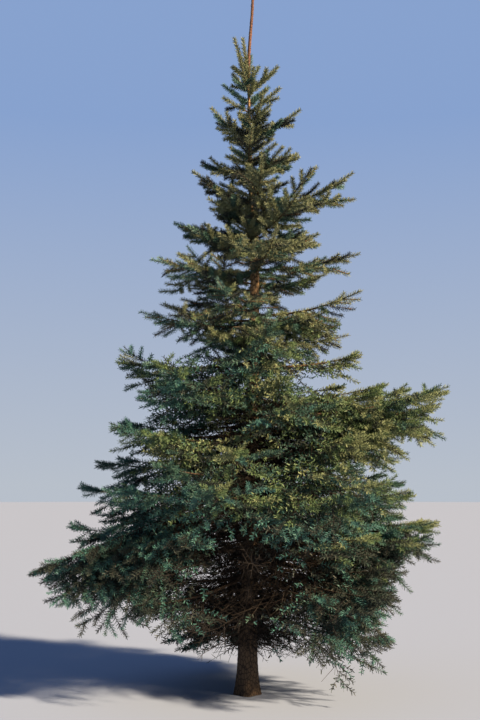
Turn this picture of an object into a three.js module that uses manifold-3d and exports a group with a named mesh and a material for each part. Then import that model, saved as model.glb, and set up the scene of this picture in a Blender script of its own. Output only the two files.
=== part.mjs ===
// A young blue-green spruce, 5.7 m tall, rooted in open ground.
// Millimetres, +Z up, +X to the viewer's right, +Y away from the viewer.
// The origin is the centre of the trunk's flat cut at ground level.

import * as THREE from "three";
import { mergeVertices } from "three/addons/utils/BufferGeometryUtils.js";
import Module from "manifold-3d";

const wasm = await Module();
wasm.setup();
const { Manifold } = wasm;

// Driving sizes of the whole tree
const TREE_HEIGHT = 5700;
const TRUNK_TOP = 4950; // above it the leader grows on
const LEADER_WHORL = 5045; // height of the shoots round the foot of the leader

// The centre line sways: height, then sway to the right and away from the viewer
const CENTRE_LINE = [
  [0, 0, 0],
  [1800, 35, -20],
  [3500, 65, 15],
  [4400, 20, 25],
  [5050, 15, 15],
  [TREE_HEIGHT, 50, 5],
];

// Trunk
const FOOT_RADIUS = 78;
const TOP_RADIUS = 8;
const FLARE = 34; // how far the root flare stands out at the ground
const FLARE_HEIGHT = 130;
const FLARE_LOBES = 4;
const FLARE_DEPTH = 0.35; // how deep the hollows between its lobes are, as a share of the flare
const TAPER = 0.88; // below 1 the trunk keeps its thickness longer
const TRUNK_SIDES = 12; // three to each lobe of the flare
const TRUNK_RINGS = 14;
const RINGS_TO_FOOT = 1.6; // above 1 the rings are closer together at the foot

// A gap that keeps two touching solids apart
const CLEAR = 0.3;

// Whorls of boughs from the top down: height on the trunk, number of boughs, azimuth of the first
// and reach of each. Azimuth 0 is the viewer's right, 90 the far side.
const WHORLS = [
  { height: 4840, count: 3, turn: 12, reach: 235 },
  { height: 4660, count: 2, turn: 190, reach: 260 },
  { height: 4400, count: 4, turn: 8, reach: 420 },
  { height: 4150, count: 3, turn: 155, reach: 480 },
  { height: 3860, count: 4, turn: 8, reach: 640 },
  { height: 3590, count: 3, turn: 172, reach: 700 },
  { height: 3290, count: 4, turn: 4, reach: 840 },
  { height: 2960, count: 4, turn: -20, reach: 880 },
  { height: 2590, count: 4, turn: 10, reach: 1000 },
  { height: 2150, count: 5, turn: -3, reach: 1120 },
  { height: 1750, count: 5, turn: 20, reach: 1250 },
  { height: 1330, count: 5, turn: -3, reach: 1350 },
  { height: 950, count: 4, turn: 20, reach: 1270 },
  { height: 620, count: 3, turn: -14, reach: 1180 },
];

const HEIGHT_SCATTER = 0.018; // of each bough in its whorl, for each mm below the tip of the tree
const AZIMUTH_SCATTER = 8;
const REACH_SCATTER = 0.06;

// A bough's rise, for each mm of reach, falls from the top of the tree to the ground
const RISE_AT_TOP = 2.2;
const RISE_FADE = 1150;
const RISE_LOSS = 0.00002;
const SAG = 0.045; // at the middle of a bough, which turns up beyond it
const WANDER = 0.05; // aside, at the middle of a bough

// Side twigs droop more from boughs lower in the crown
const DROOP_FROM = 1500; // mm below the tip of the tree
const DROOP_RATE = 1 / 5500;
const MOST_DROOP = 0.6;

// Boughs that differ from the rule: whorl and place in it, both from 1
const SINGLE = {
  "2_1": { reach: 215, rise: 0.5 },
  "3_3": { reach: 320, rise: 0.95 },
  "4_1": { reach: 470, rise: 0.3 },
  "5_1": { reach: 860, rise: 0.42, sag: 0.09 },
  "5_3": { reach: 500, rise: 0.5 },
  "6_1": { reach: 680, rise: 0.2 },
  "7_1": { reach: 850, rise: 0.16 },
  "7_3": { reach: 840, rise: 0.12 },
  "8_3": { reach: 800, rise: 0.22 },
  "9_1": { reach: 890, rise: 0.12 },
  "9_3": { reach: 1090, rise: 0 },
  "10_1": { height: 2120, reach: 1560, rise: 0.14, sag: 0.03, bare: true },
  "10_3": { reach: 900 },
  "10_4": { reach: 860 },
  "11_3": { reach: 1320 },
  "12_1": { reach: 1500, rise: -0.03, bare: true },
  "12_2": { reach: 1400 },
  "12_3": { height: 1500, azimuth: 196, reach: 1700, rise: -0.33, sag: -0.02, bare: true },
  "12_4": { height: 1550, azimuth: 258, reach: 1350, rise: 0.02, droop: 0.35 },
  "12_5": { azimuth: 318, reach: 1200 },
  "13_2": { azimuth: 128 },
  "13_3": { azimuth: 316, reach: 1330, rise: -0.16, bare: true },
  "13_4": { azimuth: 226, reach: 1150, rise: -0.12 },
  "14_1": { rise: -0.2, bare: true },
  "14_3": { azimuth: 236, reach: 760, rise: -0.12, dead: true },
};

// Boughs whose bare limb is a solid of its own end it at this share of their reach
const BARE_SHARE = 0.34;
const FOLIAGE_FROM = 0.12; // share of any other bough before its first side twig
const TIP_SHARE = 0.22; // the end of a bough that is its last spray

// Thickness of a bough where it leaves the trunk, and its taper
const BOUGH_TO_TRUNK = 0.45; // at most, as a share of the trunk's thickness
const BOUGH_RADIUS = 5;
const BOUGH_RADIUS_GAIN = 0.0105; // for each mm of reach
const BOUGH_TAPER = 0.8;

// Side twigs
const TWIG_SPACING = 0.25; // along each side, for each mm of reach
const TWIG_SPACING_RANGE = [150, 300];
const TWIG_LENGTH = 0.56; // longest side twig, for each mm of reach
const TWIG_LENGTH_SCATTER = 0.14;
const TWIG_ANGLE = [64, 40]; // forward of square to the bough, at its first and its last side twig
const TWIG_ANGLE_SCATTER = 7;
const TWIG_TILT = 0.6; // how far side twigs stand above or hang below their bough, as a slope
const TWIG_RADIUS = 4.5;
const DEAD_TWIG_TIP_RADIUS = 2;
const SHORTEST_SPRAY = 105;
const LONGEST_SPRAY = 640; // a longer side twig branches again
const TRIES = [1, 0.75, 0.55]; // lengths tried for a side twig that has no room

// The shoots of a side twig that branches again, as shares of its length
const SHOOTS_FROM = 0.16;
const SHOOT_SPACING = 0.26;
const SHOOT_LENGTH = 0.52;
const SHOOT_TIP_SHARE = 0.56;

// A spray of needles is a toothed blade. Its side runs from root to tip: share of the length, share
// of the half width. A ridge stands above and below it.
const BLADE_ROOT = -0.035;
const BLADE_SIDE = [
  [0.5, 1],
  [0.46, 0.52],
  [0.8, 0.66],
];
const RIDGE_AT = 0.34;
const BLADE_WIDTH = 0.26; // half width for each mm of length
const BLADE_HALF_WIDTH = [30, 135]; // least and most
const BLADE_THICKNESS = 0.42; // ridge height for each mm of half width
const BLADE_ROLL = 34; // at most, about its own length

// Sprays on the leader are narrow and lie along it, and a ring of shoots leans out at its foot
const LEADER_SPRAYS_AT = [0.3, 0.62];
const LEADER_SPRAY_LENGTH = 0.38; // as a share of the leader
const LEADER_SPRAY_WIDTH = 0.11;
const LEADER_HALF_WIDTH = 20;
const LEADER_TIP_RADIUS = 5;
const LEADER_SHOOTS = [
  { azimuth: 190, length: 315, lean: 20 },
  { azimuth: 262, length: 290, lean: 14 },
  { azimuth: 5, length: 150, lean: 48 },
  { azimuth: 100, length: 230, lean: 30 },
  { azimuth: 325, length: 180, lean: 38 },
];

const Z = new THREE.Vector3(0, 0, 1);
const radians = THREE.MathUtils.degToRad;
const mix = THREE.MathUtils.lerp;
const clamp = THREE.MathUtils.clamp;

// A number from 0 to 1 that is always the same for the same three whole numbers
function chance(a, b, c) {
  let h = Math.imul(a + 1, 374761393) ^ Math.imul(b + 1, 668265263) ^ Math.imul(c + 1, 1103515245);
  h = Math.imul(h ^ (h >>> 13), 1274126177);
  h = Math.imul(h ^ (h >>> 15), 97931);
  return ((h ^ (h >>> 16)) >>> 0) / 2 ** 32;
}

// The same number, spread from -1 to 1
function swing(a, b, c) {
  return 2 * chance(a, b, c) - 1;
}

// Closed triangle mesh to solid
function solidOf(geometry) {
  for (const name of ["normal", "uv"]) geometry.deleteAttribute(name);
  const merged = mergeVertices(geometry, 1e-3);
  const solid = new Manifold(
    new wasm.Mesh({
      numProp: 3,
      vertProperties: merged.attributes.position.array,
      triVerts: new Uint32Array(merged.index.array),
    }),
  );
  if (solid.volume() <= 0) throw new Error("a solid is inside out");
  return solid;
}

// Solid to triangle mesh
function geometryOf(solid) {
  const { vertProperties, numProp, triVerts } = solid.getMesh();
  const positions = new Float32Array((vertProperties.length / numProp) * 3);
  for (let i = 0; i < positions.length / 3; i++)
    positions.set(vertProperties.subarray(i * numProp, i * numProp + 3), i * 3);
  const geometry = new THREE.BufferGeometry();
  geometry.setAttribute("position", new THREE.BufferAttribute(positions, 3));
  geometry.setIndex(new THREE.BufferAttribute(triVerts, 1));
  return geometry;
}

// The largest body of a solid, without loose scraps or sealed hollows
function mainBody(solid) {
  return solid.decompose().reduce((a, b) => (a.volume() > b.volume() ? a : b));
}

// Tangent, sideways and upward directions of a path at the share t of it
function frameAt(path, t) {
  const step = 0.01;
  const tangent = path(Math.min(1, t + step)).sub(path(Math.max(0, t - step))).normalize();
  const side = new THREE.Vector3().crossVectors(tangent, Z);
  if (side.length() < 0.05) side.set(1, 0, 0);
  side.normalize();
  return { tangent, side, normal: new THREE.Vector3().crossVectors(side, tangent) };
}

// A closed cylinder bent along path, with radiusAt(t) at each share t of it
function limb(path, radiusAt, sides, steps) {
  const geometry = new THREE.CylinderGeometry(1, 1, 1, sides, steps);
  const position = geometry.attributes.position;
  for (let i = 0; i < position.count; i++) {
    const t = 0.5 - position.getY(i);
    const { side, normal } = frameAt(path, t);
    const radius = radiusAt(t);
    const point = path(t)
      .addScaledVector(side, position.getZ(i) * radius)
      .addScaledVector(normal, position.getX(i) * radius);
    position.setXYZ(i, point.x, point.y, point.z);
  }
  return solidOf(geometry);
}

// Part of a path, as a path of its own
function stretch(path, from, to) {
  return (t) => path(mix(from, to, t));
}

// Centre of the trunk or leader at a height, eased from each point of the centre line to the next
function centreAt(height) {
  const k = CENTRE_LINE.slice(1, -1).filter(([low]) => low <= height).length;
  const [low, high] = [CENTRE_LINE[k], CENTRE_LINE[k + 1]];
  const share = THREE.MathUtils.smoothstep(height, low[0], high[0]);
  return new THREE.Vector3(mix(low[1], high[1], share), mix(low[2], high[2], share), height);
}

function trunkRadius(height) {
  return mix(TOP_RADIUS, FOOT_RADIUS, Math.max(0, 1 - height / TRUNK_TOP) ** TAPER);
}

// The trunk, or with extra the room that it takes. Rings are close together at the flare.
function trunk(extra = 0) {
  const geometry = new THREE.CylinderGeometry(1, 1, 1, TRUNK_SIDES, TRUNK_RINGS);
  const position = geometry.attributes.position;
  for (let i = 0; i < position.count; i++) {
    const height = (TRUNK_TOP + extra) * (position.getY(i) + 0.5) ** RINGS_TO_FOOT;
    const angle = Math.atan2(position.getX(i), position.getZ(i));
    const fade = Math.exp(-height / FLARE_HEIGHT);
    const flare = FLARE * fade * (1 - FLARE_DEPTH * (1 - Math.cos(FLARE_LOBES * angle)));
    const share = Math.hypot(position.getX(i), position.getZ(i)); // 0 at the middle of a cap, else 1
    const radius = share * (trunkRadius(height) + flare + extra);
    const { x, y } = centreAt(height);
    position.setXYZ(i, x + radius * Math.sin(angle), y - radius * Math.cos(angle), height);
  }
  return solidOf(geometry);
}

// Every bough by the rule: it rises steeply near the top and droops near the ground
function boughs() {
  const list = [];
  WHORLS.forEach(({ height, count, turn, reach }, w) => {
    const depth = TREE_HEIGHT - height;
    for (let i = 0; i < count; i++) {
      const name = w + 1 + "_" + (i + 1);
      const seed = 10 * w + i;
      const rule = {
        name,
        seed,
        height: height + HEIGHT_SCATTER * depth * swing(seed, 0, 1),
        azimuth: turn + (360 * i) / count + AZIMUTH_SCATTER * swing(seed, 0, 2),
        reach: reach * (1 + REACH_SCATTER * swing(seed, 0, 3)),
        rise: RISE_AT_TOP * Math.exp(-depth / RISE_FADE) - RISE_LOSS * depth,
        sag: SAG,
        droop: clamp(DROOP_RATE * (depth - DROOP_FROM), 0, MOST_DROOP),
        bare: false,
        dead: false,
      };
      list.push(Object.assign(rule, SINGLE[name]));
    }
  });
  return list;
}

// Centre line of a bough: it sags at its middle, turns up at its tip and wanders a little aside
function boughPath({ height, azimuth, reach, rise, sag, seed }) {
  const out = new THREE.Vector3(Math.cos(radians(azimuth)), Math.sin(radians(azimuth)), 0);
  const aside = new THREE.Vector3(-out.y, out.x, 0);
  const wander = WANDER * swing(seed, 0, 4);
  return (t) =>
    centreAt(height)
      .addScaledVector(out, reach * t)
      .addScaledVector(aside, reach * wander * Math.sin(Math.PI * t))
      .addScaledVector(Z, reach * (rise * t - sag * Math.sin(Math.PI * t)));
}

function boughRadius(bough, t) {
  const byReach = BOUGH_RADIUS + BOUGH_RADIUS_GAIN * bough.reach;
  const atTrunk = Math.min(BOUGH_TO_TRUNK * trunkRadius(bough.height), byReach);
  return mix(atTrunk, TWIG_RADIUS, Math.min(1, t) ** BOUGH_TAPER);
}

// Length of a side twig at a share of the way, for each mm of the longest
function twigProfile(share) {
  return (0.6 + 1.7 * share) * (1 - share) ** 0.9;
}

// Side twigs of a stem between two shares of its path: in turn left and right, longest at a third
// of the way, leaning forward
function sideTwigs(path, { reach, spacing, from, to, longest, droop, seed }) {
  const count = Math.max(2, 2 * Math.round((reach * (to - from)) / spacing));
  return Array.from({ length: count }, (_, k) => {
    const share = (k + 0.5) / count;
    const t = mix(from, to, share);
    const { tangent, side, normal } = frameAt(path, t);
    const angle = radians(mix(...TWIG_ANGLE, share) + TWIG_ANGLE_SCATTER * swing(seed, k, 5));
    const tilt = TWIG_TILT * swing(seed, k, 6);
    const direction = tangent
      .clone()
      .multiplyScalar(Math.cos(angle))
      .addScaledVector(side, (k % 2 ? 1 : -1) * Math.sin(angle))
      .addScaledVector(normal, tilt)
      .addScaledVector(Z, -droop)
      .normalize();
    const length = longest * twigProfile(share) * (1 + TWIG_LENGTH_SCATTER * swing(seed, k, 7));
    return { root: path(t), direction, up: normal, length, seed: 31 * seed + k };
  });
}

// The last spray of a stem, from the share 1 - tip of its path
function tipSpray(path, tip, seed) {
  const root = path(1 - tip);
  const along = path(1).sub(root);
  const length = along.length();
  return { root, direction: along.normalize(), up: frameAt(path, 1 - tip).normal, length, seed };
}

// A toothed blade from root along direction, rolled a little about it
function blade({ root, direction, up, length, seed }, width = BLADE_WIDTH, least = BLADE_HALF_WIDTH[0]) {
  const halfWidth = clamp(width * length, least, BLADE_HALF_WIDTH[1]);
  const ridge = BLADE_THICKNESS * halfWidth;
  const across = new THREE.Vector3()
    .crossVectors(direction, up)
    .normalize()
    .applyAxisAngle(direction, radians(BLADE_ROLL) * swing(seed, 0, 8));
  const above = new THREE.Vector3().crossVectors(across, direction);
  const at = (along, aside, height) =>
    root
      .clone()
      .addScaledVector(direction, length * along)
      .addScaledVector(across, halfWidth * aside)
      .addScaledVector(above, height);
  const outline = [
    at(BLADE_ROOT, 0, 0),
    ...BLADE_SIDE.map(([along, aside]) => at(along, aside, 0)),
    at(1, 0, 0),
    ...BLADE_SIDE.map(([along, aside]) => at(along, -aside, 0)).reverse(),
  ];
  const points = [...outline, at(RIDGE_AT, 0, ridge), at(RIDGE_AT, 0, -ridge)];
  const faces = outline.flatMap((_, i) => {
    const next = (i + 1) % outline.length;
    return [i, next, outline.length, next, i, outline.length + 1];
  });
  const geometry = new THREE.BufferGeometry().setFromPoints(points);
  geometry.setIndex(faces);
  return solidOf(geometry);
}

// True where two solids come within the gap that keeps them apart
function touches(a, b) {
  const boxA = a.boundingBox();
  const boxB = b.boundingBox();
  for (let k = 0; k < 3; k++)
    if (boxA.min[k] > boxB.max[k] + CLEAR || boxB.min[k] > boxA.max[k] + CLEAR) return false;
  return a.minGap(b, 2 * CLEAR) < CLEAR;
}

// Grows a side twig by the rule: a long one is a three-sided stem with side twigs of its own, a short
// one a spray. One that has no room is tried again shorter, and then left out.
function grow(twig, isFree) {
  for (const share of TRIES) {
    const length = Math.max(SHORTEST_SPRAY, twig.length * share);
    const shorter = { ...twig, length };
    if (length <= LONGEST_SPRAY) {
      const spray = blade(shorter);
      if (isFree(spray)) return [spray];
      continue;
    }
    const path = (t) => twig.root.clone().addScaledVector(twig.direction, length * t);
    const stem = limb(stretch(path, 0, 1.1 * (1 - SHOOT_TIP_SHARE)), () => TWIG_RADIUS, 3, 1);
    if (!isFree(stem)) continue;
    const shoots = sideTwigs(path, {
      reach: length,
      spacing: SHOOT_SPACING * length,
      from: SHOOTS_FROM,
      to: 1 - SHOOT_TIP_SHARE,
      longest: SHOOT_LENGTH * length,
      droop: 0,
      seed: twig.seed,
    });
    const sprays = [...shoots, tipSpray(path, SHOOT_TIP_SHARE, twig.seed)].map((one) => blade(one));
    return [stem, ...sprays.filter(isFree)];
  }
  return [];
}

// A dead side twig is bare
function bareTwig({ root, direction, length }) {
  const path = (t) => root.clone().addScaledVector(direction, length * t);
  return limb(path, (t) => mix(TWIG_RADIUS, DEAD_TWIG_TIP_RADIUS, t), 3, 1);
}

function slimBlade(twig) {
  return blade(twig, LEADER_SPRAY_WIDTH, LEADER_HALF_WIDTH);
}

// The leader: a slim stem with sprays along it and a ring of shoots round its foot
function leader() {
  const path = (t) => centreAt(mix(TRUNK_TOP + CLEAR, TREE_HEIGHT, t));
  const sprayLength = LEADER_SPRAY_LENGTH * (TREE_HEIGHT - TRUNK_TOP);
  const stem = limb(stretch(path, 0, 0.8), (t) => mix(TOP_RADIUS, LEADER_TIP_RADIUS, t), 4, 3);
  const along = LEADER_SPRAYS_AT.map((t, seed) => {
    const { tangent, normal } = frameAt(path, t);
    return slimBlade({ root: path(t), direction: tangent, up: normal, length: sprayLength, seed });
  });
  const round = LEADER_SHOOTS.map(({ azimuth, length, lean }, seed) => {
    const up = new THREE.Vector3(Math.cos(radians(azimuth)), Math.sin(radians(azimuth)), 0);
    const direction = Z.clone().applyAxisAngle(new THREE.Vector3().crossVectors(Z, up), radians(lean));
    return slimBlade({ root: centreAt(LEADER_WHORL), direction, up, length, seed });
  });
  return mainBody(Manifold.union([stem, ...along, ...round]));
}

// The tree

const BARK = new THREE.MeshStandardMaterial({ color: 0x5b4a3c, roughness: 0.95, metalness: 0 });
const DEAD_WOOD = new THREE.MeshStandardMaterial({ color: 0x6b5344, roughness: 0.9, metalness: 0 });
const NEEDLES = new THREE.MeshStandardMaterial({ color: 0x3f5d50, roughness: 0.7, metalness: 0 });

const tree = new THREE.Group();

function add(name, solid, material) {
  const mesh = new THREE.Mesh(geometryOf(solid), material);
  mesh.name = name;
  tree.add(mesh);
}

const trunkSpace = trunk(CLEAR);
const leaderSolid = leader();

// Stems and bare limbs first, so that no spray takes the room of another bough's limb
const all = boughs().map((bough) => {
  const path = boughPath(bough);
  const stemFrom = bough.bare ? BARE_SHARE + CLEAR / bough.reach : 0;
  const stemTo = bough.dead ? 1 : 1 - TIP_SHARE / 2;
  const part = (from, to, sides, steps) =>
    limb(stretch(path, from, to), (t) => boughRadius(bough, mix(from, to, t)), sides, steps);
  const stem = part(stemFrom, stemTo, 3, 4);
  return {
    bough,
    path,
    limb: bough.bare ? mainBody(part(0, BARE_SHARE, 7, 4).subtract(trunkSpace)) : null,
    mass: bough.bare ? stem : mainBody(stem.subtract(trunkSpace)),
  };
});

// Then the side twigs and sprays of each, clear of the trunk and of every other bough
for (const own of all) {
  const { bough, path } = own;
  const others = all.filter((one) => one !== own).flatMap((one) => [one.limb, one.mass]);
  const taken = [trunkSpace, leaderSolid, own.limb, ...others].filter(Boolean);
  const isFree = (solid) => !taken.some((other) => touches(solid, other));
  const from = bough.bare ? BARE_SHARE + 0.03 : FOLIAGE_FROM;
  const twigs = sideTwigs(path, {
    reach: bough.reach,
    spacing: clamp(TWIG_SPACING * bough.reach, ...TWIG_SPACING_RANGE),
    from,
    to: 1 - TIP_SHARE / 2,
    longest: TWIG_LENGTH * bough.reach,
    droop: bough.droop,
    seed: bough.seed,
  });
  const grown = bough.dead
    ? twigs.map(bareTwig).filter(isFree)
    : [...twigs, tipSpray(path, TIP_SHARE, bough.seed)].flatMap((twig) => grow(twig, isFree));
  own.mass = mainBody(Manifold.union([own.mass, ...grown]));
}

add("trunk", trunk(), BARK);
add("leader", leaderSolid, NEEDLES);
for (const { bough, limb: bare, mass } of all) {
  if (bare) add("bough_" + bough.name, bare, BARK);
  add((bough.dead ? "dead_bough_" : "foliage_") + bough.name, mass, bough.dead ? DEAD_WOOD : NEEDLES);
}

export default tree;
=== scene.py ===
# A young blue-green spruce, about 5.7 m tall, that grows in open ground. Metres, +Z up, +X to the
# viewer's right, -Y towards the viewer. The origin is the centre of the trunk's cut at ground level.

from math import cos, exp, hypot, pi, radians, sin

import bmesh
import bpy
import numpy as np
from mathutils import Matrix, Vector, noise


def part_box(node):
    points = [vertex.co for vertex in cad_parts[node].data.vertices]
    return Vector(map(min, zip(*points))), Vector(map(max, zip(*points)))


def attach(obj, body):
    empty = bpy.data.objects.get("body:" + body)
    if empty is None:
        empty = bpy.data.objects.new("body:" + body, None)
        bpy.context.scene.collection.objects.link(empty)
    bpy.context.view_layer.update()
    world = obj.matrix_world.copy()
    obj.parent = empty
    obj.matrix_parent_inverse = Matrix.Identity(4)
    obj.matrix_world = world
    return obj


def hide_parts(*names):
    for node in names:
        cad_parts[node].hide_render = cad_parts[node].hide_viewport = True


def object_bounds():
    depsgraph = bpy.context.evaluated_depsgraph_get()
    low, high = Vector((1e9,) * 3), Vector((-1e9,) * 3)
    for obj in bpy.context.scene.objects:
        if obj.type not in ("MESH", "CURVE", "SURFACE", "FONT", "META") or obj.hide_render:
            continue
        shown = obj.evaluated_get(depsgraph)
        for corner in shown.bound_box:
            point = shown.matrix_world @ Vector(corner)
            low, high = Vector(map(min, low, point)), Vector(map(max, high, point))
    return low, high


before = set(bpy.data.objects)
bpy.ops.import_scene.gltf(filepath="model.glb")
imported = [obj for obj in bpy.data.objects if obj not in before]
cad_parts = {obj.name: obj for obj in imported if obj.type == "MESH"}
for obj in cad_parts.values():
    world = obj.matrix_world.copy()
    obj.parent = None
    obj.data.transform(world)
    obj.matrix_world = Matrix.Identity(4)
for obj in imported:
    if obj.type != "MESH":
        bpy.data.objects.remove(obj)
cad_low, cad_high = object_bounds()
scene = bpy.context.scene

# The camera
# It stands at a grown person's eye height, 8 m from the trunk, with a normal lens held upright and
# tipped up a little, so that the tip of the leader comes to the top edge.
EYE = (-0.057, -7.97, 1.6)
TIPPED_UP = 7.125  # degrees
LENS = 50  # mm, on film 36 mm high

camera = bpy.data.objects.new("camera", bpy.data.cameras.new("camera"))
camera.data.lens = LENS
camera.data.sensor_width = 36
camera.location = EYE
camera.rotation_euler = (radians(90 + TIPPED_UP), 0, 0)
scene.collection.objects.link(camera)
scene.camera = camera


# The floor, the backdrop and the light
# The floor is matt pale card, wide enough to fade into an even backdrop. A warm lamp stands low in
# front on the right, like a late sun, and a soft cool one fills from the left and above.
FLOOR_RADIUS = 90
FLOOR_SIDES = 64
FLOOR_COLOUR = "#9bacc9"
BACKDROP_LOW, BACKDROP_HIGH = "#bcc4cf", "#8ba6d3"
BACKDROP_BLEND = 0.35  # sine of the angle above the floor where the upper colour is reached
FILL_STRENGTH = 0.29  # of the backdrop, as light on the tree
BACKDROP_STRENGTH = 0.95  # as the camera sees it
LAMPS = [
    # name, colour, strength, softness in degrees, height and azimuth of the lamp in degrees
    ("low_sun", "#ffdfb6", 10.9, 4, 28, -34),
    ("sky_fill", "#9fb8e0", 0.22, 60, 62, -150),
]


def linear(code):
    """The linear colour of an sRGB hex value."""
    parts = [int(code[i : i + 2], 16) / 255 for i in (1, 3, 5)]
    return [p / 12.92 if p <= 0.04045 else ((p + 0.055) / 1.055) ** 2.4 for p in parts] + [1]


def put(tree, kind, sockets, **settings):
    """Adds a node, or takes one that is there, and sets it. A socket takes a value or an output."""
    node = tree.nodes.new(kind) if isinstance(kind, str) else kind
    for name, value in settings.items():
        setattr(node, name, value)
    for name, value in sockets.items():
        if isinstance(value, bpy.types.NodeSocket):
            tree.links.new(value, node.inputs[name])
        else:
            node.inputs[name].default_value = value
    return node


def aim(azimuth, height):
    """The turn of a lamp whose light comes from there. Azimuth 0 is the right, and 90 the far side."""
    a, h = radians(azimuth), radians(height)
    towards = Vector((cos(a) * cos(h), sin(a) * cos(h), sin(h)))
    return towards.to_track_quat("Z", "Y")


def card():
    """Matt painted card, pale grey-blue, so that the floor runs into the backdrop without a line."""
    made = bpy.data.materials.new("matt_card")
    made.use_nodes = True
    shader = made.node_tree.nodes["Principled BSDF"]
    put(made.node_tree, shader, {"Base Color": linear(FLOOR_COLOUR), "Roughness": 0.95})
    return made


bm = bmesh.new()
bmesh.ops.create_circle(bm, cap_ends=True, radius=FLOOR_RADIUS, segments=FLOOR_SIDES)
floor = bpy.data.objects.new("floor", bpy.data.meshes.new("floor"))
bm.to_mesh(floor.data)
bm.free()
floor.data.materials.append(card())
scene.collection.objects.link(floor)

for name, colour, strength, softness, height, azimuth in LAMPS:
    lamp = bpy.data.objects.new(name, bpy.data.lights.new(name, "SUN"))
    lamp.data.color = linear(colour)[:3]
    lamp.data.energy = strength
    lamp.data.angle = radians(softness)
    lamp.rotation_mode = "QUATERNION"
    lamp.rotation_quaternion = aim(azimuth, height)
    scene.collection.objects.link(lamp)

scene.world = bpy.data.worlds.new("backdrop")
scene.world.use_nodes = True
tree = scene.world.node_tree
ray = put(tree, "ShaderNodeTexCoord", {}).outputs["Generated"]
height = put(tree, "ShaderNodeSeparateXYZ", {"Vector": ray}).outputs["Z"]
blend = put(tree, "ShaderNodeMapRange", {"Value": height, "From Max": BACKDROP_BLEND}).outputs["Result"]
tone = put(
    tree,
    "ShaderNodeMix",
    {0: blend, 6: linear(BACKDROP_LOW), 7: linear(BACKDROP_HIGH)},
    data_type="RGBA",
)
seen = put(tree, "ShaderNodeLightPath", {}).outputs["Is Camera Ray"]
strength = put(
    tree,
    "ShaderNodeMapRange",
    {"Value": seen, "To Min": FILL_STRENGTH, "To Max": BACKDROP_STRENGTH},
)
put(
    tree,
    tree.nodes["Background"],
    {"Color": tone.outputs[2], "Strength": strength.outputs["Result"]},
)
scene.view_settings.view_transform = "Standard"


# The trunk
# One stem of spruce wood in thin bark that flakes in scales: grey-brown below and tan where it is
# young. It swells at each whorl of boughs and flares at the ground, where it is cut flat.
TREE_HEIGHT = 5.7
TRUNK_TOP = 4.95
CENTRE_LINE = [  # height, then sway to the right and away from the viewer
    (0, 0, 0),
    (1.8, 0.035, -0.02),
    (3.5, 0.065, 0.015),
    (4.4, 0.02, 0.025),
    (5.05, 0.015, 0.015),
    (TREE_HEIGHT, 0.05, 0.005),
]
FOOT_RADIUS = 0.078
TOP_RADIUS = 0.008
TAPER = 0.88
FLARE = 0.034
FLARE_HEIGHT = 0.13
FLARE_LOBES = 4
FLARE_DEPTH = 0.35
WHORL_HEIGHTS = [4.84, 4.66, 4.4, 4.15, 3.86, 3.59, 3.29, 2.96, 2.59, 2.15, 1.75, 1.33, 0.95, 0.62]
WHORL_SWELL = 0.05  # of the trunk's radius
WHORL_SWELL_HEIGHT = 0.05
SCALE_SIZE = 0.022  # of a flake of bark, drawn about half as large again as a real one
SCALE_FLATTENING = 0.6  # a flake is taller than wide
SCALE_RELIEF = 0.0022
MOST_RELIEF = 0.06  # of the trunk's radius, where the trunk is thin
SUNK = 0.8  # share of the relief that lies under the trunk's radius
OLD_BARK_TO, YOUNG_BARK_FROM = 1.1, 3.2  # heights between which the bark turns from grey-brown to tan
YOUNG_EVERYWHERE = 0.08  # the least share of tan
CRACK_WIDTH = 0.16  # of a flake
GRIT = 6  # grains of roughness across a flake
GRIT_HEIGHT = 0.05  # of a flake
PATCHES = 0.35  # patches of older and younger bark for each flake
TRUNK_SIDES, TRUNK_RINGS = 64, 440
RING_CROWDING = 1.25  # rings stand closer low down, where the trunk is seen best
FLAKE_SEED = 7
Z = Vector((0, 0, 1))

noise.seed_set(FLAKE_SEED)  # else the flakes' ragged edges would differ from run to run


def mix(a, b, share):
    return a + (b - a) * share


def centre_at(height):
    """Centre of the trunk or leader at a height, eased from each named point to the next."""
    k = sum(low[0] <= height for low in CENTRE_LINE[1:-1])
    low, high = CENTRE_LINE[k], CENTRE_LINE[k + 1]
    share = min(1, max(0, (height - low[0]) / (high[0] - low[0])))
    share = share * share * (3 - 2 * share)
    return Vector((mix(low[1], high[1], share), mix(low[2], high[2], share), height))


def trunk_radius(height):
    return mix(TOP_RADIUS, FOOT_RADIUS, max(0, 1 - height / TRUNK_TOP) ** TAPER)


def flakes(point, size):
    """Height of the bark's flakes at a point, from 0 in the cracks to 1: they are taller than wide."""
    at = Vector((point.x, point.y, point.z * SCALE_FLATTENING)) / size
    ragged = 0.35 * noise.noise_vector(at * 0.7)
    near, next_one = noise.voronoi(at + ragged)[0][:2]
    steepness = 2.2
    return min(1, (next_one - near) * steepness)


def roll(bm, sides, rings, point_at):
    """Rolls a sheet round a limb and joins its long edges: point_at(angle, share) gives each point."""
    made = bmesh.ops.create_grid(bm, x_segments=sides, y_segments=rings, size=0.5)
    for v in made["verts"]:
        v.co = point_at(2 * pi * (v.co.x + 0.5), v.co.y + 0.5)
    bmesh.ops.remove_doubles(bm, verts=made["verts"], dist=1e-6)


def close_ends(bm):
    """Caps the open ends of rolled limbs and turns all faces outwards."""
    bmesh.ops.holes_fill(bm, edges=[e for e in bm.edges if e.is_boundary], sides=0)
    bmesh.ops.recalc_face_normals(bm, faces=bm.faces)


def piece_of(bm, name, material):
    """Makes a bmesh an object of the tree, which rides on its only body."""
    made = bpy.data.objects.new(name, bpy.data.meshes.new(name))
    bm.to_mesh(made.data)
    bm.free()
    made.data.materials.append(material)
    made.data.polygons.foreach_set("use_smooth", [True] * len(made.data.polygons))
    scene.collection.objects.link(made)
    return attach(made, "root")


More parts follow.
